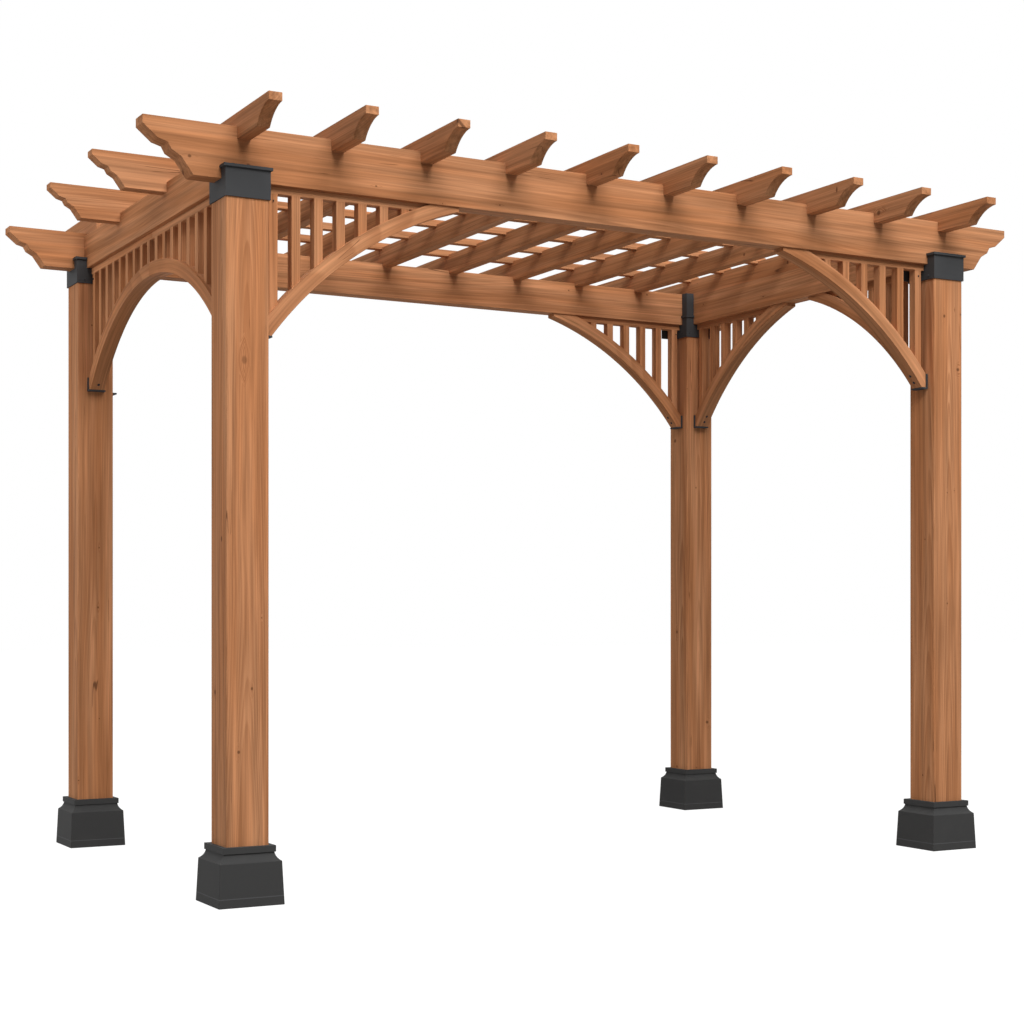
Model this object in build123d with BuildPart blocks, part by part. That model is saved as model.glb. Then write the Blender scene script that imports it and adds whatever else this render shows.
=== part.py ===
from build123d import *
import os
from math import sqrt

# Free-standing wooden pergola: four posts, two long beams, two side beams, nine rafters, six
# purlins and curved lattice braces. Millimetres. +X runs along the long beams, +Y to the
# back, +Z up. The origin is on the floor, in the middle of the four posts.

# ---- driving dimensions -------------------------------------------------------------------
post_spacing_x = 2860.0        # post centre to post centre, along the long beams
post_spacing_y = 1680.0        # post centre to post centre, front to back
post_width = 140.0
post_height = 2258.0           # floor to the beams' underside
post_edge = 3.0                # eased corner of a post

base_height = 184.0            # moulded skirt round the foot of a post
base_shoulder_height = 136.0
base_bottom_width = 216.0
base_shoulder_width = 204.0
base_neck_width = 167.0
base_lip_width = 175.0
base_lip_height = 20.0
base_cove_depth = 4.0          # how far the cove bows in from a straight slope
base_wall = 8.0
base_fit = 0.5                 # gap between the skirt and the post

cap_drop = 60.0                # how far the steel cap reaches down the post
cap_rise = 40.0                # and how far up beside the beams
cap_wall = 4.0
cap_fit = 0.5
cap_lip_height = 9.0
cap_lip_proud = 6.0
cap_ear = 70.0                 # ears beside the braces: their reach beyond the post's face

beam_thickness = 70.0
front_beam_depth = 168.0
back_beam_depth = 142.0
side_beam_depth = 130.0
beam_overhang = 255.0          # beam nose beyond the post's outer face

# The corners of an ogee end, as shares of the board's depth: in from the nose, down from the top.
ogee_nose = (0.0, 0.16)        # foot of the blunt nose
ogee_lobe = (0.287, 0.40)      # lower end of the first slope
ogee_cusp = (0.472, 0.453)     # top of the small step
ogee_step = (0.541, 0.578)     # and its foot
ogee_hip = (0.729, 0.684)      # top of the last slope
ogee_foot = (0.956, 1.0)       # where it meets the underside

rafter_rows = 10               # the first row, over the left side beam, has only its two ends
rafter_thickness = 44.0
rafter_depth = 82.0
rafter_overhang = 235.0        # rafter nose beyond the post's outer face
rafter_nose = 26.0             # height of the blunt nose
rafter_cove_length = 102.0
rafter_cove_depth = 14.0       # how far the cove bows into the wood
rafter_end_reach = 160.0       # a short rafter end: from the long beam's middle inwards
notch_fit = 0.3

purlin_count = 6
purlin_width = 38.0
purlin_height = 27.0
purlin_let_in = 8.0            # depth of the housing in the rafters' tops
purlin_spacing = 260.0
purlin_shift = 175.0           # the purlins sit this far behind the middle

tail_thickness = 54.0
tail_depth = 118.0
tail_lap = 36.0                # how far a tail hangs down in front of the side beam
tail_overhang = 225.0          # tail nose beyond the post's outer face
tail_spacing = 540.0           # between the two tails of a side
tail_shift = 75.0              # the tails sit this far behind the middle

brace_board = 48.0             # width of the curved board, across its curve
brace_thickness = 56.0
brace_drop = 476.0             # from the beam's underside to the board's level foot
brace_reach = 690.0            # from the post's face to the blunt upper end
brace_radius = 1300.0
brace_blunt = 14.0             # height of the blunt upper end
left_crown_drop = 157.0        # from the beam to the crown of the left side's full arch

slat_width = 30.0
slat_thickness = 34.0
slat_start = 20.0              # the first slat's near edge from the post's face
slat_pitch = 77.0              # in the front left brace,
slat_count = 7
wide_slat_pitch = 88.0         # and in the other quarter arches
wide_slat_count = 6
left_slat_count = 9            # in each half of the left arch
rail_height = 24.0

shoe_plate = 6.0               # thickness of the steel shoe behind and under a brace's foot
shoe_ledge = 20.0              # how far its ledge reaches under the foot
shoe_width = 66.0

# ---- levels and places that follow --------------------------------------------------------
half_x = post_spacing_x / 2
half_y = post_spacing_y / 2
beam_bottom = post_height
side_beam_top = beam_bottom + side_beam_depth
rafter_bottom = side_beam_top
rafter_top = rafter_bottom + rafter_depth
cap_bottom = post_height - cap_drop
cap_top = post_height + cap_rise
beam_nose_x = half_x + post_width / 2 + beam_overhang
rafter_nose_y = half_y + post_width / 2 + rafter_overhang
rafter_pitch = post_spacing_x / (rafter_rows - 1)
second_row_x = half_x - rafter_pitch
purlin_left = -second_row_x - rafter_thickness / 2
purlin_right = half_x + rafter_thickness / 2
purlin_middle = (purlin_count - 1) / 2
purlin_rows = [purlin_shift + purlin_spacing * (i - purlin_middle) for i in range(purlin_count)]
tail_bottom = side_beam_top - tail_lap
tail_top = tail_bottom + tail_depth
tail_nose_x = half_x + post_width / 2 + tail_overhang
brace_foot = beam_bottom - brace_drop
left_arch_top = beam_bottom - left_crown_drop

os.makedirs("parts", exist_ok=True)


def write(part, label):
    """Label one finished piece and write it to its own file."""
    part.label = label
    export_step(part, f"parts/{label}.step")


def level_plane(x, y, z):
    """Level plane at a height."""
    return Plane(origin=(x, y, z), x_dir=(1, 0, 0), z_dir=(0, 0, 1))


def front_plane(x, y):
    """Upright plane that faces the front: its axes are X and Z."""
    return Plane(origin=(x, y, 0), x_dir=(1, 0, 0), z_dir=(0, -1, 0))


def side_plane(x, y):
    """Upright plane that faces right: its axes are Y and Z."""
    return Plane(origin=(x, y, 0), x_dir=(0, 1, 0), z_dir=(1, 0, 0))


# ---- posts, skirts and caps ---------------------------------------------------------------
def make_post(label, x, y):
    with BuildPart() as post:
        with BuildSketch(level_plane(x, y, 0)):
            Rectangle(post_width, post_width)
        extrude(amount=post_height)
        chamfer(post.edges().filter_by(Axis.Z), post_edge)
    write(post.part, label)


def make_base(label, x, y):
    """A hollow moulded skirt: one outline on all four sides, mitred at the corners."""
    half_bottom = base_bottom_width / 2
    half_shoulder = base_shoulder_width / 2
    half_neck = base_neck_width / 2
    half_lip = base_lip_width / 2
    lip_bottom = base_height - base_lip_height
    hole_width = post_width + 2 * base_fit
    with BuildPart() as base:
        for plane, mode in (
            (front_plane(x, y), Mode.ADD),
            (side_plane(x, y), Mode.INTERSECT),
        ):
            with BuildSketch(plane):
                with BuildLine():
                    Line((0, 0), (half_bottom, 0))
                    Line((half_bottom, 0), (half_shoulder, base_shoulder_height))
                    SagittaArc(
                        (half_shoulder, base_shoulder_height),
                        (half_neck, lip_bottom),
                        base_cove_depth,
                    )
                    Line((half_neck, lip_bottom), (half_lip, lip_bottom))
                    Line((half_lip, lip_bottom), (half_lip, base_height))
                    Line((half_lip, base_height), (0, base_height))
                    Line((0, base_height), (0, 0))
                make_face()
                mirror(about=Plane.YZ)
            extrude(amount=half_bottom, both=True, mode=mode)
        with BuildSketch(level_plane(x, y, 0)):
            Rectangle(hole_width, hole_width)
        extrude(amount=base_height, mode=Mode.SUBTRACT)
        with BuildSketch(level_plane(x, y, 0)):
            Rectangle(base_shoulder_width - 2 * base_wall, base_shoulder_width - 2 * base_wall)
        extrude(amount=base_shoulder_height - base_wall, mode=Mode.SUBTRACT)
    write(base.part, label)


def make_cap(label, x, y, inward_x, inward_y, beam_depth):
    """Steel cap: a sleeve over the post's top, slotted for the beams that bear on the post.

    inward_x and inward_y point from this post to the middle. An angle in that corner rises
    to the top of the long beam. Two ears run on past the sleeve, below the beams' back
    and right faces.
    """
    inner = post_width + 2 * cap_fit
    outer = inner + 2 * cap_wall
    lip = outer + 2 * cap_lip_proud
    slot = beam_thickness + 2 * cap_fit
    with BuildPart() as cap:
        with BuildSketch(level_plane(x, y, cap_bottom)):
            Rectangle(outer, outer)
        extrude(amount=cap_drop + cap_rise)
        with BuildSketch(level_plane(x, y, cap_top - cap_lip_height)):
            Rectangle(lip, lip)
        extrude(amount=cap_lip_height)
        with BuildSketch(level_plane(x, y, post_height)):
            with Locations((inward_x * outer / 4, inward_y * outer / 4)):
                Rectangle(outer / 2, outer / 2)
        extrude(amount=beam_depth)
        with BuildSketch(level_plane(x, y, cap_bottom)):
            Rectangle(inner, inner)
        extrude(amount=cap_drop + beam_depth, mode=Mode.SUBTRACT)
        with BuildSketch(level_plane(x, y, post_height)):
            Rectangle(lip, slot)
            with Locations((0, inward_y * lip / 4)):
                Rectangle(slot, lip / 2)
        extrude(amount=beam_depth, mode=Mode.SUBTRACT)
        ear = post_width / 2 + cap_ear - inner / 2
        ear_middle = inner / 2 + ear / 2
        ear_row = beam_thickness / 2 + cap_wall / 2
        with BuildSketch(level_plane(x, y, cap_bottom)):
            with Locations((inward_x * ear_middle, ear_row)):
                Rectangle(ear, cap_wall)
            with Locations((ear_row, inward_y * ear_middle)):
                Rectangle(cap_wall, ear)
        extrude(amount=cap_drop)
    write(cap.part, label)


for side, sx in (("left", -1), ("right", 1)):
    for row, sy, depth in (("front", -1, front_beam_depth), ("back", 1, back_beam_depth)):
        make_post(f"{row}_{side}_post", sx * half_x, sy * half_y)
        make_base(f"{row}_{side}_post_base", sx * half_x, sy * half_y)
        make_cap(f"{row}_{side}_post_cap", sx * half_x, sy * half_y, -sx, -sy, depth)


# ---- beams --------------------------------------------------------------------------------
def ogee_points(nose_x, top, depth):
    """The outline of an ogee end, from the nose's top corner inwards to the board's underside."""
    corners = [ogee_nose, ogee_lobe, ogee_cusp, ogee_step, ogee_hip, ogee_foot]
    return [(nose_x, top)] + [(nose_x - run * depth, top - drop * depth) for run, drop in corners]


def make_long_beam(label, y, depth):
    """A beam along X with an ogee cut under each end."""
    beam_top = beam_bottom + depth
    ogee = ogee_points(beam_nose_x, beam_top, depth)
    with BuildPart() as beam:
        with BuildSketch(front_plane(0, y)):
            with BuildLine():
                Polyline((0, beam_top), *ogee, (0, beam_bottom), close=True)
            make_face()
            mirror(about=Plane.YZ)
        extrude(amount=beam_thickness / 2, both=True)
    write(beam.part, label)


def make_side_beam(label, x):
    """A plain beam along Y between the two long beams."""
    length = post_spacing_y - beam_thickness
    with BuildPart() as beam:
        with BuildSketch(level_plane(x, 0, beam_bottom)):
            Rectangle(beam_thickness, length)
        extrude(amount=side_beam_depth)
    write(beam.part, label)


make_long_beam("front_beam", -half_y, front_beam_depth)
make_long_beam("back_beam", half_y, back_beam_depth)
make_side_beam("left_side_beam", -half_x)
make_side_beam("right_side_beam", half_x)


# ---- rafters and purlins ------------------------------------------------------------------
def make_rafter(label, x, ends_only=False):
    """A rafter along Y: coved ends, notched over the long beams, housed for the purlins.

    ends_only leaves its two ends alone, as short boards over the long beams.
    """
    nose_bottom = rafter_top - rafter_nose
    cove_foot = rafter_nose_y - rafter_cove_length
    with BuildPart() as rafter:
        with BuildSketch(side_plane(x, 0)):
            with BuildLine():
                Line((0, rafter_top), (rafter_nose_y, rafter_top))
                Line((rafter_nose_y, rafter_top), (rafter_nose_y, nose_bottom))
                SagittaArc(
                    (rafter_nose_y, nose_bottom),
                    (cove_foot, rafter_bottom),
                    -rafter_cove_depth,
                )
                Line((cove_foot, rafter_bottom), (0, rafter_bottom))
                Line((0, rafter_bottom), (0, rafter_top))
            make_face()
            mirror(about=Plane.YZ)
            for row, depth in ((-half_y, front_beam_depth), (half_y, back_beam_depth)):
                with Locations((row, beam_bottom + depth)):
                    Rectangle(
                        beam_thickness + 2 * notch_fit,
                        depth - side_beam_depth,
                        align=(Align.CENTER, Align.MAX),
                        mode=Mode.SUBTRACT,
                    )
            if ends_only:
                with Locations((0, rafter_bottom)):
                    Rectangle(
                        post_spacing_y - 2 * rafter_end_reach,
                        rafter_depth,
                        align=(Align.CENTER, Align.MIN),
                        mode=Mode.SUBTRACT,
                    )
            else:
                with Locations(*[(row, rafter_top) for row in purlin_rows]):
                    Rectangle(
                        purlin_width + 2 * notch_fit,
                        purlin_let_in,
                        align=(Align.CENTER, Align.MAX),
                        mode=Mode.SUBTRACT,
                    )
        extrude(amount=rafter_thickness / 2, both=True)
    write(rafter.part, label)


def make_purlin(label, y):
    """A batten along X, let into the tops of all the rafters."""
    with BuildPart() as purlin:
        with BuildSketch(level_plane(purlin_left, y, rafter_top - purlin_let_in)):
            Rectangle(purlin_right - purlin_left, purlin_width, align=(Align.MIN, Align.CENTER))
        extrude(amount=purlin_height)
    write(purlin.part, label)


make_rafter("left_rafter_ends", -half_x, ends_only=True)
for number in range(1, rafter_rows):
    make_rafter(f"rafter_{number}", -half_x + number * rafter_pitch)

for number, row in enumerate(purlin_rows):
    make_purlin(f"purlin_{number + 1}", row)


# ---- rafter tails on the sides ------------------------------------------------------------
def make_tail(label, side, y, rafter_x):
    """A short ogee-ended tail that laps over the side beam and butts on the rafter at rafter_x."""
    inner_x = rafter_x + rafter_thickness / 2
    beam_face_x = half_x + beam_thickness / 2
    ogee = ogee_points(tail_nose_x, tail_top, tail_depth)
    with BuildPart() as tail:
        with BuildSketch(front_plane(0, y)):
            with BuildLine():
                Polyline(
                    (inner_x, tail_top),
                    *ogee,
                    (beam_face_x, tail_bottom),
                    (beam_face_x, side_beam_top),
                    (inner_x, side_beam_top),
                    close=True,
                )
            make_face()
            if side < 0:
                mirror(about=Plane.YZ, mode=Mode.REPLACE)
        extrude(amount=tail_thickness / 2, both=True)
    write(tail.part, label)


# On the left the tails run on over the side beam, to the nearest rafter inside it.
for side_name, side, rafter_x in (("left", -1, second_row_x), ("right", 1, half_x)):
    make_tail(f"{side_name}_front_tail", side, tail_shift - tail_spacing / 2, rafter_x)
    make_tail(f"{side_name}_back_tail", side, tail_shift + tail_spacing / 2, rafter_x)


# ---- braces -------------------------------------------------------------------------------
def arch_centre(start, end, radius):
    """Centre of the arc through two points, on the lower side of their chord."""
    chord = sqrt((end[0] - start[0]) ** 2 + (end[1] - start[1]) ** 2)
    across = sqrt(radius**2 - chord**2 / 4)
    along = ((end[0] - start[0]) / chord, (end[1] - start[1]) / chord)
    middle = ((start[0] + end[0]) / 2, (start[1] + end[1]) / 2)
    return (middle[0] + along[1] * across, middle[1] - along[0] * across)


def arch_height(centre, radius, out):
    """Height of an arc above the point that lies `out` from the post's face."""
    return centre[1] + sqrt(radius**2 - (centre[0] - out) ** 2)


def rail_end(centre, radius, reach):
    """How far out the top rail runs before the curved board takes its place."""
    rise = beam_bottom - centre[1]
    outer = radius + brace_board
    if outer <= rise:
        return reach
    return min(reach, centre[0] - sqrt(outer**2 - rise**2))


def brace_plane(x, y, along_x, along_y):
    """Upright plane on the face of the post at x, y, with its x axis pointing along the beam."""
    face = post_width / 2
    origin = (x + along_x * face, y + along_y * face, 0)
    return Plane(origin=origin, x_dir=(along_x, along_y, 0), z_dir=(along_y, -along_x, 0))


def slat_rows(pitch, count):
    """The centres of a brace's slats, from the post's face outwards."""
    return [slat_start + slat_width / 2 + pitch * i for i in range(count)]


def make_brace(label, plane, reach, radius, centre, slats):
    """A lattice brace, drawn from the post's face outwards: curved board, slats and top rail.

    The plane's origin is on the floor at the post's face, its x axis runs along the beam.
    The board is cut upright against the shoe's plate and level on its ledge. slats holds
    the centre of each slat.
    """
    outer_radius = radius + brace_board
    foot_top = arch_height(centre, outer_radius, shoe_plate)
    with BuildPart() as brace:
        with BuildSketch(plane):
            with Locations(centre):
                Circle(outer_radius)
                Circle(radius, mode=Mode.SUBTRACT)
            with Locations((shoe_plate, brace_foot)):
                Rectangle(
                    reach - shoe_plate,
                    brace_drop,
                    align=(Align.MIN, Align.MIN),
                    mode=Mode.INTERSECT,
                )
        extrude(amount=brace_thickness / 2, both=True)
        with BuildSketch(plane):
            for slat in slats:
                seat = max(arch_height(centre, radius + brace_board / 2, slat), foot_top)
                with Locations((slat, seat)):
                    Rectangle(slat_width, beam_bottom - seat, align=(Align.CENTER, Align.MIN))
            with Locations((shoe_plate, beam_bottom - rail_height)):
                Rectangle(
                    rail_end(centre, radius, reach) - shoe_plate,
                    rail_height,
                    align=(Align.MIN, Align.MIN),
                )
        extrude(amount=slat_thickness / 2, both=True)
    write(brace.part, label)


# Five braces are quarter arches that end under the beam with a blunt tip.
brace_tip = (brace_reach, beam_bottom - brace_blunt)
quarter_centre = arch_centre((shoe_plate + shoe_ledge, brace_foot), brace_tip, brace_radius)
close_slats = slat_rows(slat_pitch, slat_count)
wide_slats = slat_rows(wide_slat_pitch, wide_slat_count)

for label, plane, slats in (
    ("front_left_brace", brace_plane(-half_x, -half_y, 1, 0), close_slats),
    ("front_right_brace", brace_plane(half_x, -half_y, -1, 0), wide_slats),
    ("back_right_brace", brace_plane(half_x, half_y, -1, 0), wide_slats),
    ("right_side_front_brace", brace_plane(half_x, -half_y, 0, 1), wide_slats),
    ("right_side_back_brace", brace_plane(half_x, half_y, 0, -1), wide_slats),
):
    make_brace(label, plane, brace_reach, brace_radius, quarter_centre, slats)

# The left side's two braces meet at the crown of one full arch.
left_reach = (post_spacing_y - post_width) / 2
left_run = left_reach - shoe_plate - shoe_ledge
left_rise = left_arch_top - brace_foot
left_radius = (left_run**2 + left_rise**2) / (2 * left_rise)
left_centre = (left_reach, left_arch_top - left_radius)
left_pitch = (left_reach - slat_start - slat_width / 2) / (left_slat_count - 0.5)
left_slats = slat_rows(left_pitch, left_slat_count)

for label, plane in (
    ("left_side_front_brace", brace_plane(-half_x, -half_y, 0, 1)),
    ("left_side_back_brace", brace_plane(-half_x, half_y, 0, -1)),
):
    make_brace(label, plane, left_reach, left_radius, left_centre, left_slats)


# ---- brace shoes --------------------------------------------------------------------------
quarter_shoe_top = arch_height(quarter_centre, brace_radius + brace_board, shoe_plate)
left_shoe_top = arch_height(left_centre, left_radius + brace_board, shoe_plate)

with BuildPart() as shoes:
    for plane, top in (
        (brace_plane(-half_x, -half_y, 1, 0), quarter_shoe_top),
        (brace_plane(half_x, -half_y, -1, 0), quarter_shoe_top),
        (brace_plane(half_x, half_y, -1, 0), quarter_shoe_top),
        (brace_plane(-half_x, half_y, 1, 0), quarter_shoe_top),
        (brace_plane(half_x, -half_y, 0, 1), quarter_shoe_top),
        (brace_plane(half_x, half_y, 0, -1), quarter_shoe_top),
        (brace_plane(-half_x, -half_y, 0, 1), left_shoe_top),
        (brace_plane(-half_x, half_y, 0, -1), left_shoe_top),
    ):
        with BuildSketch(plane):
            with Locations((0, brace_foot - shoe_plate)):
                Rectangle(shoe_plate, top - brace_foot + shoe_plate, align=(Align.MIN, Align.MIN))
                Rectangle(shoe_plate + shoe_ledge, shoe_plate, align=(Align.MIN, Align.MIN))
        extrude(amount=shoe_width / 2, both=True)
write(shoes.part, "brace_shoes")
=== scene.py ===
# %% [markdown]
# # A wooden pergola, dressed for the camera
# The imported CAD model gives every timber its true shape and place. This file adds what a
# model of plain solids lacks: stained cedar with grain that runs along each board, charcoal
# skirts and steel caps, screws and rivets, light and a camera. The first cell loads the
# model.

# %% Load the imported model
import math
import random
import bmesh
import bpy
from mathutils import Matrix, Vector


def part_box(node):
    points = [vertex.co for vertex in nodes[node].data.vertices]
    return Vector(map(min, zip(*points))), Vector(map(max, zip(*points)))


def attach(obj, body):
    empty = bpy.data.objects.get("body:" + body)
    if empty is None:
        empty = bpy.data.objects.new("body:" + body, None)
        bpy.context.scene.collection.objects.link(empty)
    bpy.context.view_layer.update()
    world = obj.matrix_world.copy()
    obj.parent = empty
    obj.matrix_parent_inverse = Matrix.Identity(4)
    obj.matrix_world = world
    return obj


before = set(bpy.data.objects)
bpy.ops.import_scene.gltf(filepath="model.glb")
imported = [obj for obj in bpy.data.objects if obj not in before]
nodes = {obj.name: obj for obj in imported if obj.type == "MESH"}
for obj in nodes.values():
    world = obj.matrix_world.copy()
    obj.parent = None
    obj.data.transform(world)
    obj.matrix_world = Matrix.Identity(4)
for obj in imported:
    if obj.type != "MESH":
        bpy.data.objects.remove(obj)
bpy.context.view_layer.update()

# %% [markdown]
# A material in Blender is a small tree of nodes. Writing it out in Python is long-winded, so
# a few short helpers come first. `feed` is the one to remember: it takes either a socket, which
# it links, or a plain value, which it writes into the input. The others each add one node and
# give back the socket that carries its answer, so that a pattern reads like a formula.

# %% Helpers for node trees
def add_node(tree, kind, **settings):
    """A new node of this kind, with its settings."""
    node = tree.nodes.new(kind)
    for name, value in settings.items():
        setattr(node, name, value)
    return node


def feed(tree, socket, source):
    """Link a socket to an input, or write a plain value into it."""
    if isinstance(source, bpy.types.NodeSocket):
        tree.links.new(source, socket)
    else:
        socket.default_value = source


print("node helpers: add_node, feed")


# %% Helpers for arithmetic
def maths(tree, operation, first, second=0.0, third=0.0):
    """One step of arithmetic. MULTIPLY_ADD is first * second + third."""
    node = add_node(tree, "ShaderNodeMath", operation=operation)
    for socket, source in zip(node.inputs, (first, second, third)):
        feed(tree, socket, source)
    return node.outputs[0]


def vector_maths(tree, operation, first, second=(0, 0, 0)):
    """The same for vectors. LENGTH takes one and gives a number."""
    node = add_node(tree, "ShaderNodeVectorMath", operation=operation)
    feed(tree, node.inputs[0], first)
    feed(tree, node.inputs[1], second)
    return node.outputs["Value" if operation == "LENGTH" else "Vector"]


def parts_of(tree, vector):
    """A vector's X, Y and Z sockets."""
    node = add_node(tree, "ShaderNodeSeparateXYZ")
    feed(tree, node.inputs["Vector"], vector)
    return node.outputs


def vector_of(tree, x, y, z=0.0):
    """A vector from three numbers or sockets."""
    node = add_node(tree, "ShaderNodeCombineXYZ")
    for socket, source in zip(node.inputs, (x, y, z)):
        feed(tree, socket, source)
    return node.outputs["Vector"]


print("arithmetic: maths, vector_maths, parts_of, vector_of")


# %% Helpers for patterns
def noise(tree, place, stretch, detail=2.0, output="Fac"):
    """Noise whose features are 1/stretch metres long on each axis."""
    texture = add_node(tree, "ShaderNodeTexNoise")
    feed(tree, texture.inputs["Vector"], vector_maths(tree, "MULTIPLY", place, stretch))
    feed(tree, texture.inputs["Scale"], 1.0)
    feed(tree, texture.inputs["Detail"], detail)
    return texture.outputs[output]


def ramp(tree, value, start, end, low_value=0.0, high_value=1.0):
    """A smooth step from low_value at start to high_value at end."""
    node = add_node(tree, "ShaderNodeMapRange", interpolation_type="SMOOTHSTEP")
    for name, source in (("Value", value), ("From Min", start), ("From Max", end),
                         ("To Min", low_value), ("To Max", high_value)):
        feed(tree, node.inputs[name], source)
    return node.outputs["Result"]


print("pattern helpers: noise, ramp")


# %% Helper for node groups
def new_group(title, inputs, outputs):
    """A shader node group with named sockets. Returns the group, its inputs and its outputs."""
    group = bpy.data.node_groups.new(title, "ShaderNodeTree")
    for name, kind, value in inputs:
        socket = group.interface.new_socket(name, in_out="INPUT", socket_type=kind)
        socket.default_value = value
    for name, kind in outputs:
        group.interface.new_socket(name, in_out="OUTPUT", socket_type=kind)
    given = add_node(group, "NodeGroupInput").outputs
    made = add_node(group, "NodeGroupOutput").inputs
    return group, given, made


print("group helper: new_group")


# %% [markdown]
# ## Cedar grain
# A board is a slice of a log. Its figure is what the growth rings leave where the saw went
# through them: near the middle of a flat-sawn face they make tall pointed arches, and
# towards its edges they run as straight lines. An image could show one board, but a solid
# pattern shows every board of the pergola, end grain included, and never shows a seam.
#
# So the group measures how far a point is from the log's pith and cuts that distance into
# rings. A log gets thinner as it goes up: that taper is what draws the long arches, and a
# slow bend makes them wander. A knot is a branch, so it points straight out from the pith:
# Voronoi cells laid out by length and by angle round the pith drop one here and there, and
# the rings swell round it into a pointed eye. One more knot goes just where it is wanted.

# %% Group: cedar grain, the place of a point in the log
FLOAT, VECTOR = "NodeSocketFloat", "NodeSocketVector"
SIDEWAYS = (0, 1, 1)
WANDER, WANDER_STRETCH = 0.034, (0.9, 3.0, 3.0)
cedar_grain, given, made = new_group(
    "cedar grain",
    [("Place", VECTOR, (0, 0, 0)), ("Pith", VECTOR, (0, 0.02, 0.05)),
     ("Marked Knot", VECTOR, (0, 9, 9)), ("Ring Width", FLOAT, 0.006), ("Knots", FLOAT, 0.12)],
    [("Rings", FLOAT), ("Fibre", FLOAT), ("Streak", FLOAT), ("Band", FLOAT), ("Knot", FLOAT),
     ("Check", FLOAT), ("Height", FLOAT)],
)
tree = cedar_grain
place = given["Place"]
drift = noise(tree, place, WANDER_STRETCH, 1.5, "Color")
drift = vector_maths(tree, "SUBTRACT", drift, (0.5, 0.5, 0.5))
drift = vector_maths(tree, "MULTIPLY", drift, tuple(WANDER * side for side in SIDEWAYS))
bent = vector_maths(tree, "ADD", place, drift)
across = vector_maths(tree, "SUBTRACT", bent, given["Pith"])
across = vector_maths(tree, "MULTIPLY", across, SIDEWAYS)
from_pith = vector_maths(tree, "LENGTH", across)
up_the_log = parts_of(tree, place)["X"]
print("the log wanders by up to", WANDER / 2, "m either way")

# %% [markdown]
# A knot has a radius, and everything round it grows with that: the eye that it opens in the
# rings, how far the rings swell, and its dark core. Small knots are common and large ones
# rare, so the cell's random number is squared before it becomes a radius.

# %% Knots: the eye in the rings, and the dark core
KNOTS_PER_METRE, KNOTS_PER_RADIAN = 4.5, 1.3
SMALLEST_KNOT, KNOT_RANGE = 0.0015, 0.005
EYE_WIDTH, EYE_LENGTH, EYE_SWELL = 2.7, 10.7, 3.1
CORE_RIM, CORE_HEART = 1.4, 0.6


def knot_masks(tree, along, beside, size):
    """How far the rings swell out beside a knot of this radius, and the mask of its core."""
    wide = maths(tree, "DIVIDE", beside, maths(tree, "MULTIPLY", size, EYE_WIDTH))
    long = maths(tree, "DIVIDE", along, maths(tree, "MULTIPLY", size, EYE_LENGTH))
    eye = ramp(tree, maths(tree, "MULTIPLY_ADD", long, long, wide), 1.0, 0.0)
    half_squared = maths(tree, "MULTIPLY", maths(tree, "MULTIPLY", along, along), 0.5)
    away = maths(tree, "SQRT", maths(tree, "MULTIPLY_ADD", beside, beside, half_squared))
    rim, heart = (maths(tree, "MULTIPLY", size, share) for share in (CORE_RIM, CORE_HEART))
    swell = maths(tree, "MULTIPLY", eye, maths(tree, "MULTIPLY", size, EYE_SWELL))
    return swell, ramp(tree, away, rim, heart)


print("an eye is", round(EYE_LENGTH / EYE_WIDTH, 1), "times as long as wide")

# %% Random knots, one to a cell
across_part = parts_of(tree, across)
angle = maths(tree, "ARCTAN2", across_part["Y"], across_part["Z"])
spread = vector_of(
    tree,
    maths(tree, "MULTIPLY", up_the_log, KNOTS_PER_METRE),
    maths(tree, "MULTIPLY", angle, KNOTS_PER_RADIAN),
)
cells = add_node(tree, "ShaderNodeTexVoronoi", feature="F1", voronoi_dimensions="2D")
feed(tree, cells.inputs["Scale"], 1.0)
feed(tree, cells.inputs["Vector"], spread)
chance = add_node(tree, "ShaderNodeSeparateColor")
feed(tree, chance.inputs["Color"], cells.outputs["Color"])
has_knot = maths(tree, "LESS_THAN", chance.outputs["Red"], given["Knots"])
offset = parts_of(tree, vector_maths(tree, "SUBTRACT", spread, cells.outputs["Position"]))
along = maths(tree, "ABSOLUTE", maths(tree, "DIVIDE", offset["X"], KNOTS_PER_METRE))
turned = maths(tree, "ABSOLUTE", maths(tree, "DIVIDE", offset["Y"], KNOTS_PER_RADIAN))
beside = maths(tree, "MULTIPLY", turned, from_pith)
few_large = maths(tree, "MULTIPLY", chance.outputs["Green"], chance.outputs["Green"])
size = maths(tree, "MULTIPLY_ADD", few_large, KNOT_RANGE, SMALLEST_KNOT)
swell, core = knot_masks(tree, along, beside, size)
swell = maths(tree, "MULTIPLY", swell, has_knot)
core = maths(tree, "MULTIPLY", core, has_knot)
print("knot radius:", SMALLEST_KNOT, "to", round(SMALLEST_KNOT + KNOT_RANGE, 4), "m")

# %% The marked knot, and both kinds together
MARKED_RADIUS, MARKED_STRENGTH = 0.0085, 0.6
marked = vector_maths(tree, "SUBTRACT", place, given["Marked Knot"])
marked_along = maths(tree, "ABSOLUTE", parts_of(tree, marked)["X"])
marked_beside = vector_maths(tree, "LENGTH", vector_maths(tree, "MULTIPLY", marked, SIDEWAYS))
marked_swell, marked_core = knot_masks(tree, marked_along, marked_beside, MARKED_RADIUS)
swell = maths(tree, "MAXIMUM", swell, marked_swell)
knot = maths(tree, "MAXIMUM", core, maths(tree, "MULTIPLY", marked_core, MARKED_STRENGTH))
print("marked knot's radius:", MARKED_RADIUS, "m")

# %% [markdown]
# A ring starts pale, darkens slowly, and ends at a sharp edge where the next spring began.
# The fraction of the ring count gives that: one slow ramp up and a quick one down. The rings
# are uneven in width, strong in some patches and faint in others.

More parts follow.
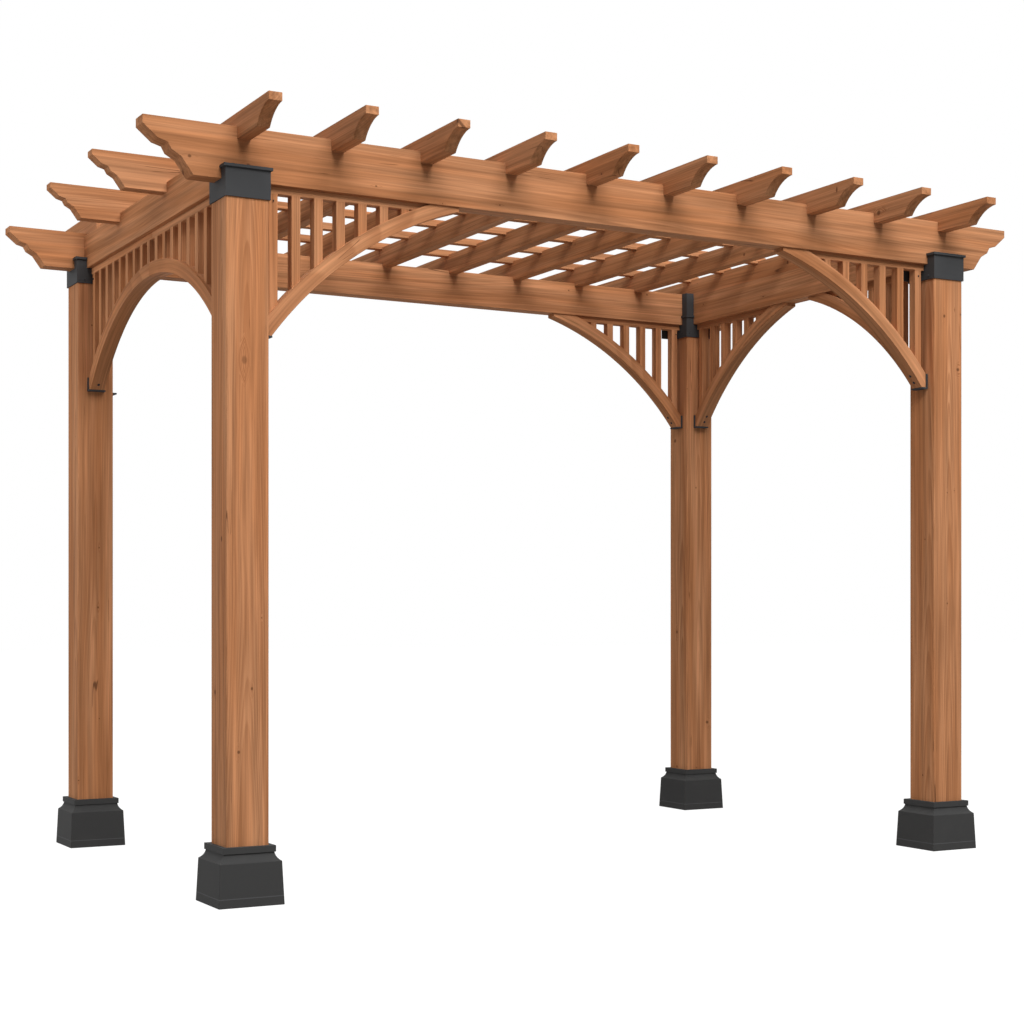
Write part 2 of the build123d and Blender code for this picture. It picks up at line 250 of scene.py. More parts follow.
# %% Rings round the pith
LOG_TAPER = 0.018
UNEVEN_RINGS, UNEVEN_SCALE = 2.2, 60.0  # shifts the count by up to this many rings
LARGEST_SWELL, RINGS_BY_KNOT = 0.011, 1.8  # rings show this much more strongly beside a knot
PATCH_STRETCH, FAINTEST_PATCH = (1.1, 13.0, 13.0), 0.20
radius = maths(tree, "MULTIPLY_ADD", up_the_log, LOG_TAPER, from_pith)
radius = maths(tree, "ADD", radius, swell)
uneven = add_node(tree, "ShaderNodeTexNoise", noise_dimensions="1D")
feed(tree, uneven.inputs["W"], radius)
feed(tree, uneven.inputs["Scale"], UNEVEN_SCALE)
even_count = maths(tree, "DIVIDE", radius, given["Ring Width"])
count = maths(tree, "MULTIPLY_ADD", uneven.outputs["Fac"], UNEVEN_RINGS, even_count)
phase = maths(tree, "FRACT", count)
rings = maths(tree, "MULTIPLY", ramp(tree, phase, 0.10, 0.85), ramp(tree, phase, 1.0, 0.86))
patchy = noise(tree, place, PATCH_STRETCH, 1.0)
rings = maths(tree, "MULTIPLY", rings, ramp(tree, patchy, 0.30, 0.68, FAINTEST_PATCH, 1.0))
by_knot = ramp(tree, swell, 0.0, LARGEST_SWELL, 1.0, RINGS_BY_KNOT)
rings = maths(tree, "MULTIPLY", rings, by_knot)
print("log taper:", LOG_TAPER, "m per metre")

# %% [markdown]
# The rings alone look drawn. Between them a board has fibres, streaks a finger wide, and
# broad bands where the stain took more or less: three noises, all stretched along the board.
# Thin contours of a fourth one open here and there as short drying checks.

# %% Fibres, streaks, bands and checks
# Each stretch is features per metre, along the board and across it.
FIBRE_STRETCH = (6.0, 300.0, 300.0)
STREAK_STRETCH = (1.7, 75.0, 75.0)
BAND_STRETCH = (0.9, 15.0, 15.0)
CHECK_STRETCH, OPEN_STRETCH = (0.35, 14.0, 14.0), (6.0, 9.0, 9.0)
CHECK_EDGE, CHECK_CORE = 0.004, 0.001
fibre = noise(tree, place, FIBRE_STRETCH, 3.0)
streak = noise(tree, bent, STREAK_STRETCH, 3.0)
band = noise(tree, bent, BAND_STRETCH, 2.0)
contour = maths(tree, "SUBTRACT", noise(tree, bent, CHECK_STRETCH, 1.0), 0.5)
contour = maths(tree, "ABSOLUTE", contour)
open_here = ramp(tree, noise(tree, place, OPEN_STRETCH, 1.0), 0.60, 0.66)
check = maths(tree, "MULTIPLY", ramp(tree, contour, CHECK_EDGE, CHECK_CORE), open_here)
print("fibres are about", round(1000 / FIBRE_STRETCH[1]), "mm wide, streaks",
      round(1000 / STREAK_STRETCH[1]), "mm, bands", round(1000 / BAND_STRETCH[1]), "mm")

# %% Relief, and the group's outputs
PROUD_RINGS, PROUD_FIBRES = 0.25, 0.6
SUNK_CHECKS, SUNK_KNOTS = 1.5, 0.4
height = maths(tree, "MULTIPLY", fibre, PROUD_FIBRES)
height = maths(tree, "MULTIPLY_ADD", rings, PROUD_RINGS, height)
for mark, depth in ((check, SUNK_CHECKS), (knot, SUNK_KNOTS)):
    height = maths(tree, "SUBTRACT", height, maths(tree, "MULTIPLY", mark, depth))
for name, source in (("Rings", rings), ("Fibre", fibre), ("Streak", streak), ("Band", band),
                     ("Knot", knot), ("Check", check), ("Height", height)):
    feed(tree, made[name], source)
print("cedar grain:", len(tree.nodes), "nodes")

# %% [markdown]
# The group says where rings, knots and checks are, and the material says what colour they
# have. A reddish-brown see-through stain soaks into the soft early wood, and the hard late
# wood of each ring stays darker. Every board gets its own material, because its grain has its
# own direction, its own place in the log and its own knots.
#
# A node at rest sits at the origin, so Object coordinates are metres in the model's frame.
# The Mapping node turns them until X runs along the board.

# %% Coordinates that run along a board
TURNS = {"x": (0, 0, 0), "y": (0, 0, -math.pi / 2), "z": (0, math.pi / 2, 0)}


def board_space(tree, turn, middle):
    """Coordinates with their origin in the board's middle and X along its grain."""
    coordinates = add_node(tree, "ShaderNodeTexCoord")
    centred = vector_maths(tree, "SUBTRACT", coordinates.outputs["Object"], tuple(middle))
    mapping = add_node(tree, "ShaderNodeMapping", vector_type="POINT")
    feed(tree, mapping.inputs["Vector"], centred)
    feed(tree, mapping.inputs["Rotation"], turn)
    return mapping.outputs["Vector"]


print("a board may run along", ", ".join(TURNS))


# %% Helpers for colour and relief
def blend_colours(tree, amount, first, second, mode="MIX"):
    """From the first colour at amount 0 to the second at 1."""
    node = add_node(tree, "ShaderNodeMix", data_type="RGBA", blend_type=mode)
    feed(tree, node.inputs["Factor"], amount)
    feed(tree, node.inputs["A"], first)
    feed(tree, node.inputs["B"], second)
    return node.outputs["Result"]


RELIEF = 0.0006  # how deep a bump is, in metres, where its height goes from 0 to 1


def feed_bump(tree, surface, height, strength):
    """A Bump node for a fine relief, fed to a surface's Normal."""
    bump = add_node(tree, "ShaderNodeBump")
    feed(tree, bump.inputs["Height"], height)
    feed(tree, bump.inputs["Strength"], strength)
    feed(tree, bump.inputs["Distance"], RELIEF)
    feed(tree, surface.inputs["Normal"], bump.outputs["Normal"])


print("a full bump is", RELIEF * 1000, "mm deep")

# %% How light the wood is from place to place
FIBRE_CONTRAST, STREAK_CONTRAST = 0.40, 1.25


def wood_shade(tree, grain, tone):
    """A grey near 1 that darkens or lightens the wood by its fibres and streaks."""
    fibres = maths(tree, "MULTIPLY_ADD", grain["Fibre"], FIBRE_CONTRAST, tone)
    streaks = maths(tree, "MULTIPLY_ADD", grain["Streak"], STREAK_CONTRAST, 1 - STREAK_CONTRAST / 2)
    shade = maths(tree, "MULTIPLY", fibres, streaks)
    grey = add_node(tree, "ShaderNodeCombineColor")
    for channel in ("Red", "Green", "Blue"):
        feed(tree, grey.inputs[channel], shade)
    return grey.outputs["Color"]


print("streaks change the shade by", STREAK_CONTRAST / 2, "at most, either way")

# %% Material: stained cedar
PALE_WOOD = (0.545, 0.256, 0.124, 1)
WARM_WOOD = (0.450, 0.186, 0.078, 1)
LATE_WOOD = (0.270, 0.098, 0.038, 1)
KNOT_BROWN = (0.085, 0.034, 0.016, 1)
BAND_EDGES = (0.32, 0.68)
KNOT_DEPTH, CHECK_DEPTH = 0.72, 0.75
WOOD_ROUGHNESS, RING_POLISH = 0.70, 0.08
WOOD_SPECULAR, WOOD_RELIEF = 0.05, 0.25
LOG_REACH, TONE_RANGE = 40, 0.035
NO_KNOT = Vector((0, 9, 9))  # so far off that it shows nowhere


def stained_cedar(title, place_of, dice, pith, ring_width=0.007, figure=0.36, tone=0.73,
                  knots=0.20, marked_knot=NO_KNOT):
    """A cedar material. place_of(tree) gives its board-space coordinates, pith is in them too.

    figure is how strongly the rings show, and tone how light the stain is.
    """
    material = bpy.data.materials.new(title)
    material.use_nodes = True
    tree = material.node_tree
    surface = tree.nodes["Principled BSDF"]
    log = Vector((dice.uniform(-LOG_REACH, LOG_REACH), 0, 0))
    group = add_node(tree, "ShaderNodeGroup", node_tree=cedar_grain)
    feed(tree, group.inputs["Place"], vector_maths(tree, "ADD", place_of(tree), tuple(log)))
    feed(tree, group.inputs["Pith"], pith)
    feed(tree, group.inputs["Marked Knot"], tuple(marked_knot + log))
    feed(tree, group.inputs["Ring Width"], ring_width * dice.uniform(0.85, 1.15))
    feed(tree, group.inputs["Knots"], knots)
    grain = group.outputs
    wood = blend_colours(tree, ramp(tree, grain["Band"], *BAND_EDGES), PALE_WOOD, WARM_WOOD)
    wood = blend_colours(tree, maths(tree, "MULTIPLY", grain["Rings"], figure), wood, LATE_WOOD)
    shade = wood_shade(tree, grain, tone + dice.uniform(-TONE_RANGE, TONE_RANGE))
    wood = blend_colours(tree, 1.0, wood, shade, "MULTIPLY")
    for mark, depth in ((grain["Knot"], KNOT_DEPTH), (grain["Check"], CHECK_DEPTH)):
        wood = blend_colours(tree, maths(tree, "MULTIPLY", mark, depth), wood, KNOT_BROWN)
    feed(tree, surface.inputs["Base Color"], wood)
    roughness = maths(tree, "MULTIPLY_ADD", grain["Rings"], -RING_POLISH, WOOD_ROUGHNESS)
    feed(tree, surface.inputs["Roughness"], roughness)
    feed_bump(tree, surface, grain["Height"], WOOD_RELIEF)
    surface.inputs["Specular IOR Level"].default_value = WOOD_SPECULAR
    return material


print("wood colours:", PALE_WOOD[:3], "to", LATE_WOOD[:3])

# %% [markdown]
# ## Straight timbers
# Posts stand, long beams and purlins run along X, and side beams and rafters run along Y. The
# tails are short boards along X. A post is sawn round the heart of a small log, so its pith
# lies inside it and all its faces show arches. The boards come from further out, and their
# rings run straighter. A seeded dice gives each board its own log, the same one every time.

# %% Which way a board's grain runs, and where its pith lies
BOARD_ENDINGS = ("_post", "_beam", "_tail", "_ends")


def middle_of(name):
    """The middle of a node's box."""
    lowest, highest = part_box(name)
    return (lowest + highest) / 2


def dress(name, material):
    """Give a CAD node one material. Its mesh stays as it is."""
    slots = nodes[name].data.materials
    slots.clear()
    slots.append(material)


def grain_axis(name):
    """The model's axis that a board's grain follows."""
    if name.endswith("_post"):
        return "z"
    if name.startswith("rafter") or name.endswith(("side_beam", "rafter_ends")):
        return "y"
    return "x"


def pith_of(name, dice):
    """Where the log's pith lies beside the board's middle line."""
    if name.endswith("_post"):
        return (0, dice.uniform(-0.04, -0.02), dice.uniform(-0.01, 0.01))
    return (0, dice.uniform(0.055, 0.10), dice.choice((-1, 1)) * dice.uniform(0.03, 0.14))


print("grain axes:", {name: grain_axis(name) for name in ("front_left_post", "front_beam", "rafter_1")})

# %% Dress the straight timbers
dice = random.Random(11)
marked_knots = {"front_left_post": Vector((0.565, -0.07, 0.011))}
post_look = dict(ring_width=0.0055, figure=0.50, tone=0.80)
straight = [
    name for name in sorted(nodes)
    if name.endswith(BOARD_ENDINGS) or name.startswith(("rafter", "purlin"))
]
for name in straight:
    turn, middle = TURNS[grain_axis(name)], middle_of(name)
    look = post_look if name.endswith("_post") else {}
    material = stained_cedar(
        "cedar " + name,
        lambda tree: board_space(tree, turn, middle),
        dice,
        pith_of(name, dice),
        marked_knot=marked_knots.get(name, NO_KNOT),
        **look,
    )
    dress(name, material)
print("straight timbers:", len(straight))

# %% [markdown]
# ## Braces
# Each brace is one solid in the model, but three kinds of timber on the real thing: a curved
# board, upright slats and a rail. The curved board is laminated, so its grain follows the
# curve. Polar coordinates round the curve's centre do that: the angle times the radius
# runs along the board, and the distance from the centre runs across it. Whatever lies
# outside the board's outer curve is slat, with upright grain, up to the rail at the top,
# whose grain runs along the beam again.
#
# The curve's centre isn't in the record, so a circle is laid through three points of the
# mesh's lower curve. The middle one is the vertex there that lies lowest against the chord.

# %% Read a brace's outline from its mesh
def brace_frame(name):
    """The axis that a brace runs along (0 or 1), the side its foot is on (-1 or 1), where on the
    axis the foot is, and the vertices as (distance out from the foot, height)."""
    lowest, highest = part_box(name)
    run = 0 if highest.x - lowest.x > highest.y - lowest.y else 1
    side = -1 if (lowest + highest)[run] < 0 else 1
    foot = lowest[run] if side < 0 else highest[run]
    flat = [((v.co[run] - foot) * -side, v.co.z) for v in nodes[name].data.vertices]
    return run, side, foot, flat


brace_names = sorted(n for n in nodes if n.endswith("_brace"))
print("braces:", {name: "XY"[brace_frame(name)[0]] for name in brace_names})

# %% Find the curve of a brace
NEAR_MIDDLE, TOUCHING = 0.12, 1e-5  # a share of the reach, and metres


def middle_bow(point, foot, end):
    """How far a point lies above the chord from the curve's foot to its end."""
    slope = (end[1] - foot[1]) / (end[0] - foot[0])
    return point[1] - foot[1] - (point[0] - foot[0]) * slope


def circle_through(a, b, c):
    """Centre and radius of the circle through three points."""
    d = 2 * (a[0] * (b[1] - c[1]) + b[0] * (c[1] - a[1]) + c[0] * (a[1] - b[1]))
    sa, sb, sc = (p[0] ** 2 + p[1] ** 2 for p in (a, b, c))
    x = (sa * (b[1] - c[1]) + sb * (c[1] - a[1]) + sc * (a[1] - b[1])) / d
    y = (sa * (c[0] - b[0]) + sb * (a[0] - c[0]) + sc * (b[0] - a[0])) / d
    return (x, y), math.hypot(a[0] - x, a[1] - y)


def lower_curve(flat):
    """Three points of the lower curve: its foot, one near its middle and its far end."""
    reach = max(p[0] for p in flat)
    foot = min(flat, key=lambda p: (round(p[1], 4), -p[0]))
    end = min((p for p in flat if p[0] > reach - TOUCHING), key=lambda p: p[1])
    between = [p for p in flat if abs(p[0] - reach / 2) < reach * NEAR_MIDDLE]
    return foot, min(between, key=lambda p: (middle_bow(p, foot, end), p)), end


print("a unit circle comes back as", circle_through((1, 0), (0, 1), (-1, 0)))

# %% Grain that follows the curve
BOARD_WIDTH, RAIL_HEIGHT = 0.0485, 0.0242  # a hair over the real ones, so that edges go with them
RAIL_PLACE = 7.0  # far enough along the log that the rail doesn't repeat the slats


def pick_vector(tree, choose_second, first, second):
    """The first vector where choose_second is 0, the second where it is 1."""
    choice = add_node(tree, "ShaderNodeMix", data_type="VECTOR")
    for name, source in (("Factor", choose_second), ("A", first), ("B", second)):
        feed(tree, choice.inputs[name], source)
    return choice.outputs["Result"]


def brace_place(tree, run, side, foot, centre, radius, rail_bottom):
    """Board space: along the curve on the board, upright on the slats, level on the rail."""
    coordinates = add_node(tree, "ShaderNodeTexCoord")
    part = parts_of(tree, coordinates.outputs["Object"])
    through = part[1 - run]
    out = maths(tree, "MULTIPLY_ADD", part[run], -side, foot * side - centre[0])
    up = maths(tree, "SUBTRACT", part["Z"], centre[1])
    squares = maths(tree, "MULTIPLY_ADD", out, out, maths(tree, "MULTIPLY", up, up))
    distance = maths(tree, "SQRT", squares)
    along = maths(tree, "MULTIPLY", maths(tree, "ARCTAN2", out, up), radius)
    curved = vector_of(tree, along, maths(tree, "SUBTRACT", distance, radius), through)
    upright = vector_of(tree, part["Z"], out, through)
    level = vector_of(tree, maths(tree, "ADD", out, RAIL_PLACE), up, through)
    is_rail = maths(tree, "GREATER_THAN", part["Z"], rail_bottom)
    is_lattice = maths(tree, "GREATER_THAN", distance, radius + BOARD_WIDTH)
    return pick_vector(tree, is_lattice, curved, pick_vector(tree, is_rail, upright, level))


print("board width:", BOARD_WIDTH, "rail height:", RAIL_HEIGHT)

# %% Dress the braces
brace_look = dict(ring_width=0.005, figure=0.45, tone=0.77, knots=0.10)
curves = {}
for name in brace_names:
    run, side, foot, flat = brace_frame(name)
    centre, radius = circle_through(*lower_curve(flat))
    curves[name] = (run, side, foot, centre, radius)
    rail_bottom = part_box(name)[1].z - RAIL_HEIGHT
    pith = (0, dice.uniform(0.02, 0.05), dice.uniform(0.03, 0.06))
    material = stained_cedar(
        "cedar " + name,
        lambda tree: brace_place(tree, run, side, foot, centre, radius, rail_bottom),
        dice,
        pith,
        **brace_look,
    )
    dress(name, material)
    print(name, "radius", round(radius, 3), "centre", [round(v, 3) for v in centre])

# %% [markdown]
# ## Charcoal steel and plastic
# Powder coat on steel has a fine orange-peel texture, and a moulded skirt has a fine matt
# grain. Both catch a little dust, mostly on what faces up. An image of such a coat would have
# to be wrapped round every cap. A noise about a millimetre wide needs no wrapping, so one group
# makes the speckle and the dust for both.

# %% Group: fine coat
CLOUD_STRETCH, CLOUD_EDGES = (9.0, 9.0, 9.0), (0.42, 0.7)
SHELTERED = 0.3  # the share of the dust that lies on sides and undersides
fine_coat, given, made = new_group(
    "fine coat",
    [("Place", VECTOR, (0, 0, 0)), ("Grain Size", FLOAT, 0.001), ("Dust", FLOAT, 0.3)],
    [("Speckle", FLOAT), ("Dust", FLOAT)],
)
tree = fine_coat
frequency = maths(tree, "DIVIDE", 1.0, given["Grain Size"])
speckle = add_node(tree, "ShaderNodeTexNoise")
feed(tree, speckle.inputs["Vector"], given["Place"])
feed(tree, speckle.inputs["Scale"], frequency)
feed(tree, speckle.inputs["Detail"], 3.0)
cloud = noise(tree, given["Place"], CLOUD_STRETCH, 4.0)
facing = add_node(tree, "ShaderNodeNewGeometry")
upward = parts_of(tree, facing.outputs["Normal"])["Z"]
on_top = ramp(tree, upward, 0.1, 0.9)
settled = maths(tree, "MULTIPLY_ADD", on_top, 1 - SHELTERED, SHELTERED)
dust = maths(tree, "MULTIPLY", ramp(tree, cloud, *CLOUD_EDGES), settled)
feed(tree, made["Speckle"], speckle.outputs["Fac"])
feed(tree, made["Dust"], maths(tree, "MULTIPLY", dust, given["Dust"]))
print("fine coat:", len(tree.nodes), "nodes")

# %% Materials: black steel and skirt plastic
DUST_GREY = (0.20, 0.19, 0.17, 1)
SEAM_GREY, SEAM_STRENGTH = (0.14, 0.14, 0.15, 1), 0.35
SPECKLE_LIGHTER, SPECKLE_RELIEF = 1.25, 0.3
DUST_ROUGHER = 0.3
COAT_SPECULAR, COAT_RELIEF = 0.06, 0.35
SEAM_EDGE, SEAM_CORE = 0.0022, 0.0008  # half widths


def coated(title, colour, roughness, grain_size, dust, seam=None):
    """A dark coat with a fine texture. seam is the height of a fine moulding line, if any."""
    material = bpy.data.materials.new(title)
    material.use_nodes = True
    tree = material.node_tree
    surface = tree.nodes["Principled BSDF"]
    coordinates = add_node(tree, "ShaderNodeTexCoord")
    coat = add_node(tree, "ShaderNodeGroup", node_tree=fine_coat)
    feed(tree, coat.inputs["Place"], coordinates.outputs["Object"])
    feed(tree, coat.inputs["Grain Size"], grain_size)
    feed(tree, coat.inputs["Dust"], dust)
    bright = tuple(c * SPECKLE_LIGHTER for c in colour[:3]) + (1,)
    tint = blend_colours(tree, coat.outputs["Speckle"], colour, bright)
    tint = blend_colours(tree, coat.outputs["Dust"], tint, DUST_GREY)
    height = maths(tree, "MULTIPLY", coat.outputs["Speckle"], SPECKLE_RELIEF)
    if seam is not None:
        level = parts_of(tree, coordinates.outputs["Object"])["Z"]
        off = maths(tree, "ABSOLUTE", maths(tree, "SUBTRACT", level, seam))
        line = ramp(tree, off, SEAM_EDGE, SEAM_CORE)
        faint = maths(tree, "MULTIPLY", line, SEAM_STRENGTH)
        tint = blend_colours(tree, faint, tint, SEAM_GREY)
        height = maths(tree, "ADD", height, line)
    feed(tree, surface.inputs["Base Color"], tint)
    dusty = maths(tree, "MULTIPLY_ADD", coat.outputs["Dust"], DUST_ROUGHER, roughness)
    feed(tree, surface.inputs["Roughness"], dusty)
    feed_bump(tree, surface, height, COAT_RELIEF)
    surface.inputs["Specular IOR Level"].default_value = COAT_SPECULAR
    return material


steel = coated(
    "black steel", (0.047, 0.048, 0.050, 1), roughness=0.60, grain_size=0.0012, dust=0.06,
)
skirt = coated(
    "skirt plastic", (0.044, 0.044, 0.044, 1), roughness=0.66, grain_size=0.0009, dust=0.08,
    seam=0.028,
)
steel_nodes = [n for n in nodes if n.endswith("_cap") or n == "brace_shoes"]
skirt_nodes = [n for n in nodes if n.endswith("_base")]
for name in steel_nodes:
    dress(name, steel)
for name in skirt_nodes:
    dress(name, skirt)
print("steel:", len(steel_nodes), "skirts:", len(skirt_nodes))

# %% [markdown]
# ## Eased edges
# Sawn timber is never quite sharp. Rounding every edge in the CAD model would make it heavy,
# so a Bevel modifier rounds them here by about a millimetre. They catch the light, and the
# mesh below stays as it is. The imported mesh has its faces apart, so a Weld modifier joins them
# first, and weighted normals keep the large faces flat beside their rounded edges.

# %% Ease the edges
def ease(piece, width, segments=2):
    """Round a piece's edges by this width, with modifiers alone."""
    weld = piece.modifiers.new("join faces", "WELD")
    weld.merge_threshold = 0.00005
    bevel = piece.modifiers.new("eased edge", "BEVEL")
    bevel.width = width
    bevel.segments = segments
    bevel.limit_method = "ANGLE"
    bevel.angle_limit = math.radians(32)
    bevel.use_clamp_overlap = True
    flat = piece.modifiers.new("flat faces", "WEIGHTED_NORMAL")
    flat.keep_sharp = True


WOOD_EDGE, SKIRT_EDGE, STEEL_EDGE = 0.0012, 0.0015, 0.0006
for name, piece in nodes.items():
    if name in skirt_nodes:
        ease(piece, SKIRT_EDGE)
    elif name in steel_nodes:
        ease(piece, STEEL_EDGE, segments=1)
    elif name in curves:
        ease(piece, WOOD_EDGE, segments=1)
    else:
        ease(piece, WOOD_EDGE)
print("eased:", len(nodes), "nodes")

# %% [markdown]
# ## Screws and rivets
# The caps are riveted near their lower edge, and long screws with broad heads hold the
# braces' feet. A head could be a bump in a material, but a bump has no outline and leaves
# nothing in the mesh. So it is a low dome on a short rim, spun from a profile with bmesh. The
# rim goes a millimetre or so into what it holds, so that no gap shows below it.

# %% The outline of a screw head
HEAD_STEPS = 20
# From the middle of the recess out to the buried rim: shares of the radius and of the rise.
HEAD_PROFILE = [
    (0.0, 0.55), (0.20, 0.55), (0.24, 0.98), (0.55, 0.88), (0.82, 0.62), (1.0, 0.25), (1.0, -0.5),
]


def head_ring(shape, radius, level):
    """A ring of vertices round the head's axis, or a single one where the radius is 0."""
    if radius == 0.0:
        return [shape.verts.new((0, 0, level))]
    angles = [2 * math.pi * i / HEAD_STEPS for i in range(HEAD_STEPS)]
    return [shape.verts.new((radius * math.cos(a), radius * math.sin(a), level)) for a in angles]


def join_rings(shape, inner, outer):
    """Faces from one ring to the next."""
    for i in range(HEAD_STEPS):
        j = (i + 1) % HEAD_STEPS
        if len(inner) == 1:
            shape.faces.new((inner[0], outer[i], outer[j]))
        else:
            shape.faces.new((inner[i], outer[i], outer[j], inner[j]))


print("a head has", HEAD_STEPS * (len(HEAD_PROFILE) - 1), "faces")


# %% Make a screw head
def screw_head(title, place, outward, width, rise, material):
    """A low dome with a small drive recess, facing outward from place."""
    shape = bmesh.new()
    rings = [head_ring(shape, share * width / 2, level * rise) for share, level in HEAD_PROFILE]
    for inner, outer in zip(rings, rings[1:]):
        join_rings(shape, inner, outer)
    mesh = bpy.data.meshes.new(title)
    shape.to_mesh(mesh)
    shape.free()
    mesh.polygons.foreach_set("use_smooth", [True] * len(mesh.polygons))
    mesh.materials.append(material)
    head = bpy.data.objects.new(title, mesh)
    bpy.context.scene.collection.objects.link(head)
    turn = Vector(outward).to_track_quat("Z", "Y").to_matrix().to_4x4()
    head.matrix_world = Matrix.Translation(place) @ turn
    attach(head, "root")
    return head


screw_steel = coated(
    "screw steel", (0.030, 0.030, 0.032, 1), roughness=0.38, grain_size=0.0008, dust=0.0,
)
print("material:", screw_steel.name)

# %% Rivets in the caps
SIDES = ((1, 0), (-1, 0), (0, 1), (0, -1))
CAP_WALL = 0.0045  # from the post's face to the cap's, with the gap between them
RIVET_WIDTH, RIVET_RISE = 0.007, 0.002
RIVET_UP, RIVET_PITCH = 0.013, 0.048  # above the cap's lower edge, and from one to the next
rivets = []
for name in sorted(n for n in nodes if n.endswith("_cap")):
    cap_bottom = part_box(name)[0].z
    middle = middle_of(name)
    post_low, post_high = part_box(name.removesuffix("_cap"))
    wall = (post_high.x - post_low.x) / 2 + CAP_WALL
    for out_x, out_y in SIDES:
        for across in (-RIVET_PITCH, 0.0, RIVET_PITCH):
            x = middle.x + out_x * wall - out_y * across
            y = middle.y + out_y * wall + out_x * across
            place = Vector((x, y, cap_bottom + RIVET_UP))
            title, outward = f"rivet_{len(rivets) + 1:03d}", (out_x, out_y, 0)
            rivets.append(screw_head(title, place, outward, RIVET_WIDTH, RIVET_RISE, screw_steel))
print("rivets:", len(rivets))

# %% Screws in the braces' feet
SCREW_WIDTH, SCREW_RISE = 0.011, 0.003
FIRST_SCREW, SCREW_PITCH = 0.024, 0.030  # up the curve from the foot
screws = []
for name, (run, side, foot, centre, radius) in curves.items():
    foot_angle = math.acos(min(1.0, (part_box(name)[0].z - centre[1]) / radius))
    for number in range(1 if name.startswith("left_side") else 2):
        angle = foot_angle - (FIRST_SCREW + SCREW_PITCH * number) / radius
        place = middle_of(name)
        place[run] = foot - side * (centre[0] - radius * math.sin(angle))
        place.z = centre[1] + radius * math.cos(angle)
        inward = Vector((0, 0, -math.cos(angle)))
        inward[run] = -side * math.sin(angle)
        title = f"{name}_screw_{number + 1}"
        screws.append(screw_head(title, place, inward, SCREW_WIDTH, SCREW_RISE, screw_steel))
print("screws:", len(screws))

# %% [markdown]
# ## Floor, light and camera
# A pale floor runs back into a pale world. To the camera both are nearly white, so the
# pergola stands free: the floor glows, and a little grey in it lets soft shadows show. To the
# light the floor is grey, and the sky is dim at the horizon and brighter overhead, so that
# the undersides stay as dark as they are outdoors. A large lamp high in front gives the front
# faces their level and the beams soft shadows of the rafters, and a weaker one on the left
# picks out the side faces.

# %% Helpers for what the camera sees and what the light sees
def shown_rays(tree):
    """1 for the camera's rays, and for those that a gloss or a glass sends on."""
    rays = add_node(tree, "ShaderNodeLightPath").outputs
    sent_on = maths(tree, "MAXIMUM", rays["Is Glossy Ray"], rays["Is Transmission Ray"])
    return maths(tree, "MAXIMUM", rays["Is Camera Ray"], sent_on)


def pick_shader(tree, amount, first, second):
    """The first shader where amount is 0, the second where it is 1."""
    node = add_node(tree, "ShaderNodeMixShader")
    for socket, source in zip(node.inputs, (amount, first, second)):
        feed(tree, socket, source)
    return node.outputs[0]


def flat_shader(tree, kind, colour, strength=None):
    """A shader of one colour, with a strength if it gives light."""
    node = add_node(tree, kind)
    feed(tree, node.inputs["Color"], colour)
    if strength is not None:
        feed(tree, node.inputs["Strength"], strength)
    return node.outputs[0]


print("shader helpers: shown_rays, pick_shader, flat_shader")


# %% Floor
FLOOR_REACH = 40
WHITE = (1, 1, 1, 1)
FLOOR_GREY, SHADOW_GREY = (0.30, 0.285, 0.27, 1), (0.16, 0.16, 0.16, 1)
FLOOR_GLOW = 0.94
corners = [(x * FLOOR_REACH, y * FLOOR_REACH, 0) for x, y in ((-1, -1), (1, -1), (1, 1), (-1, 1))]
floor_mesh = bpy.data.meshes.new("floor")
floor_mesh.from_pydata(corners, [], [(0, 1, 2, 3)])
floor = bpy.data.objects.new("floor", floor_mesh)
bpy.context.scene.collection.objects.link(floor)
paper = bpy.data.materials.new("pale floor")
paper.use_nodes = True
tree = paper.node_tree
tree.nodes.clear()
matt = flat_shader(tree, "ShaderNodeBsdfDiffuse", FLOOR_GREY)
seen = add_node(tree, "ShaderNodeAddShader")
feed(tree, seen.inputs[0], flat_shader(tree, "ShaderNodeEmission", WHITE, FLOOR_GLOW))
feed(tree, seen.inputs[1], flat_shader(tree, "ShaderNodeBsdfDiffuse", SHADOW_GREY))
result = add_node(tree, "ShaderNodeOutputMaterial")
shader = pick_shader(tree, shown_rays(tree), matt, seen.outputs[0])
feed(tree, result.inputs["Surface"], shader)
floor_mesh.materials.append(paper)
print("floor:", 2 * FLOOR_REACH, "m square")

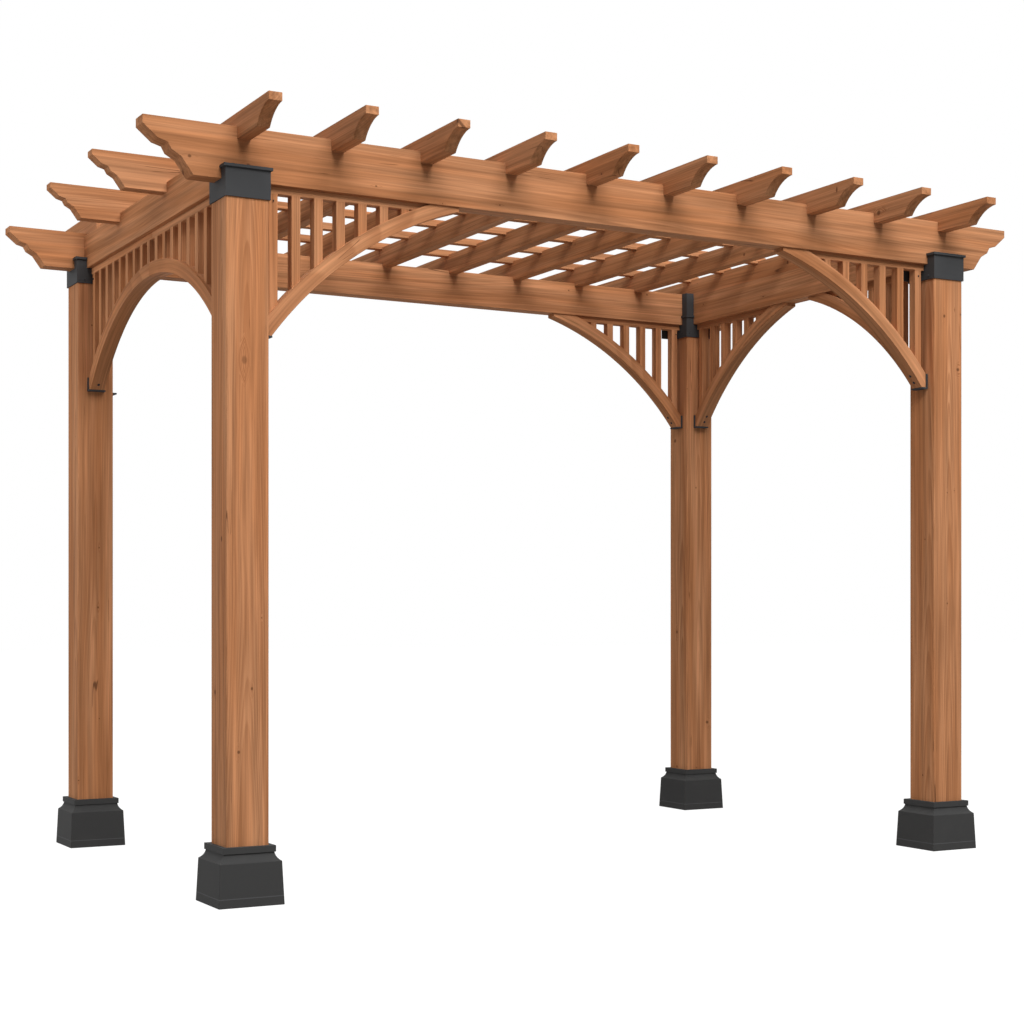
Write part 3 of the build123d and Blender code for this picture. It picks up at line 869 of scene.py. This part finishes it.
# %% World
HORIZON_LIGHT, OVERHEAD_LIGHT = 0.21, 0.575
world = bpy.data.worlds.new("studio")
bpy.context.scene.world = world
world.use_nodes = True
tree = world.node_tree
tree.nodes.clear()
direction = add_node(tree, "ShaderNodeTexCoord")
overhead = parts_of(tree, direction.outputs["Generated"])["Z"]
sky_strength = ramp(tree, overhead, 0.0, 1.0, HORIZON_LIGHT, OVERHEAD_LIGHT)
sky = flat_shader(tree, "ShaderNodeBackground", WHITE, sky_strength)
backdrop = flat_shader(tree, "ShaderNodeBackground", WHITE, 1.0)
result = add_node(tree, "ShaderNodeOutputWorld")
feed(tree, result.inputs["Surface"], pick_shader(tree, shown_rays(tree), sky, backdrop))
print("sky light:", HORIZON_LIGHT, "to", OVERHEAD_LIGHT)


# %% Lamps
def soft_lamp(title, place, aim, size, power):
    """A rectangle of light at place, turned to aim, that the camera doesn't see."""
    lamp = bpy.data.lights.new(title, "AREA")
    lamp.shape = "RECTANGLE"
    lamp.size, lamp.size_y = size
    lamp.energy = power
    holder = bpy.data.objects.new(title, lamp)
    bpy.context.scene.collection.objects.link(holder)
    direction = Vector(aim) - Vector(place)
    turn = direction.to_track_quat("-Z", "Y").to_matrix().to_4x4()
    holder.matrix_world = Matrix.Translation(place) @ turn
    holder.visible_camera = False
    print(title, power, "W")


soft_lamp("front lamp", (-0.5, -6.5, 8.5), aim=(0, 0, 1.6), size=(7.0, 5.0), power=1040)
soft_lamp("left lamp", (-5.0, 1.5, 2.5), aim=(0, 0.3, 1.4), size=(3.0, 2.0), power=58)

# %% [markdown]
# The camera stands 0.9 m up, well off the front left corner, with a lens a little longer than
# normal. It is level, so the posts stay upright, and a small upward shift of the lens brings
# the roof into the frame.

# %% Camera
lens = bpy.data.cameras.new("camera")
lens.sensor_width = 36.0
lens.lens = 64.04
lens.shift_y = 0.1013
camera = bpy.data.objects.new("camera", lens)
camera.location = (-3.438, -6.264, 0.900)
camera.rotation_euler = (math.pi / 2, 0, math.radians(-28.81))
bpy.context.scene.collection.objects.link(camera)
bpy.context.scene.camera = camera
bpy.context.scene.view_settings.view_transform = "Standard"
print("camera at", tuple(round(v, 3) for v in camera.location))
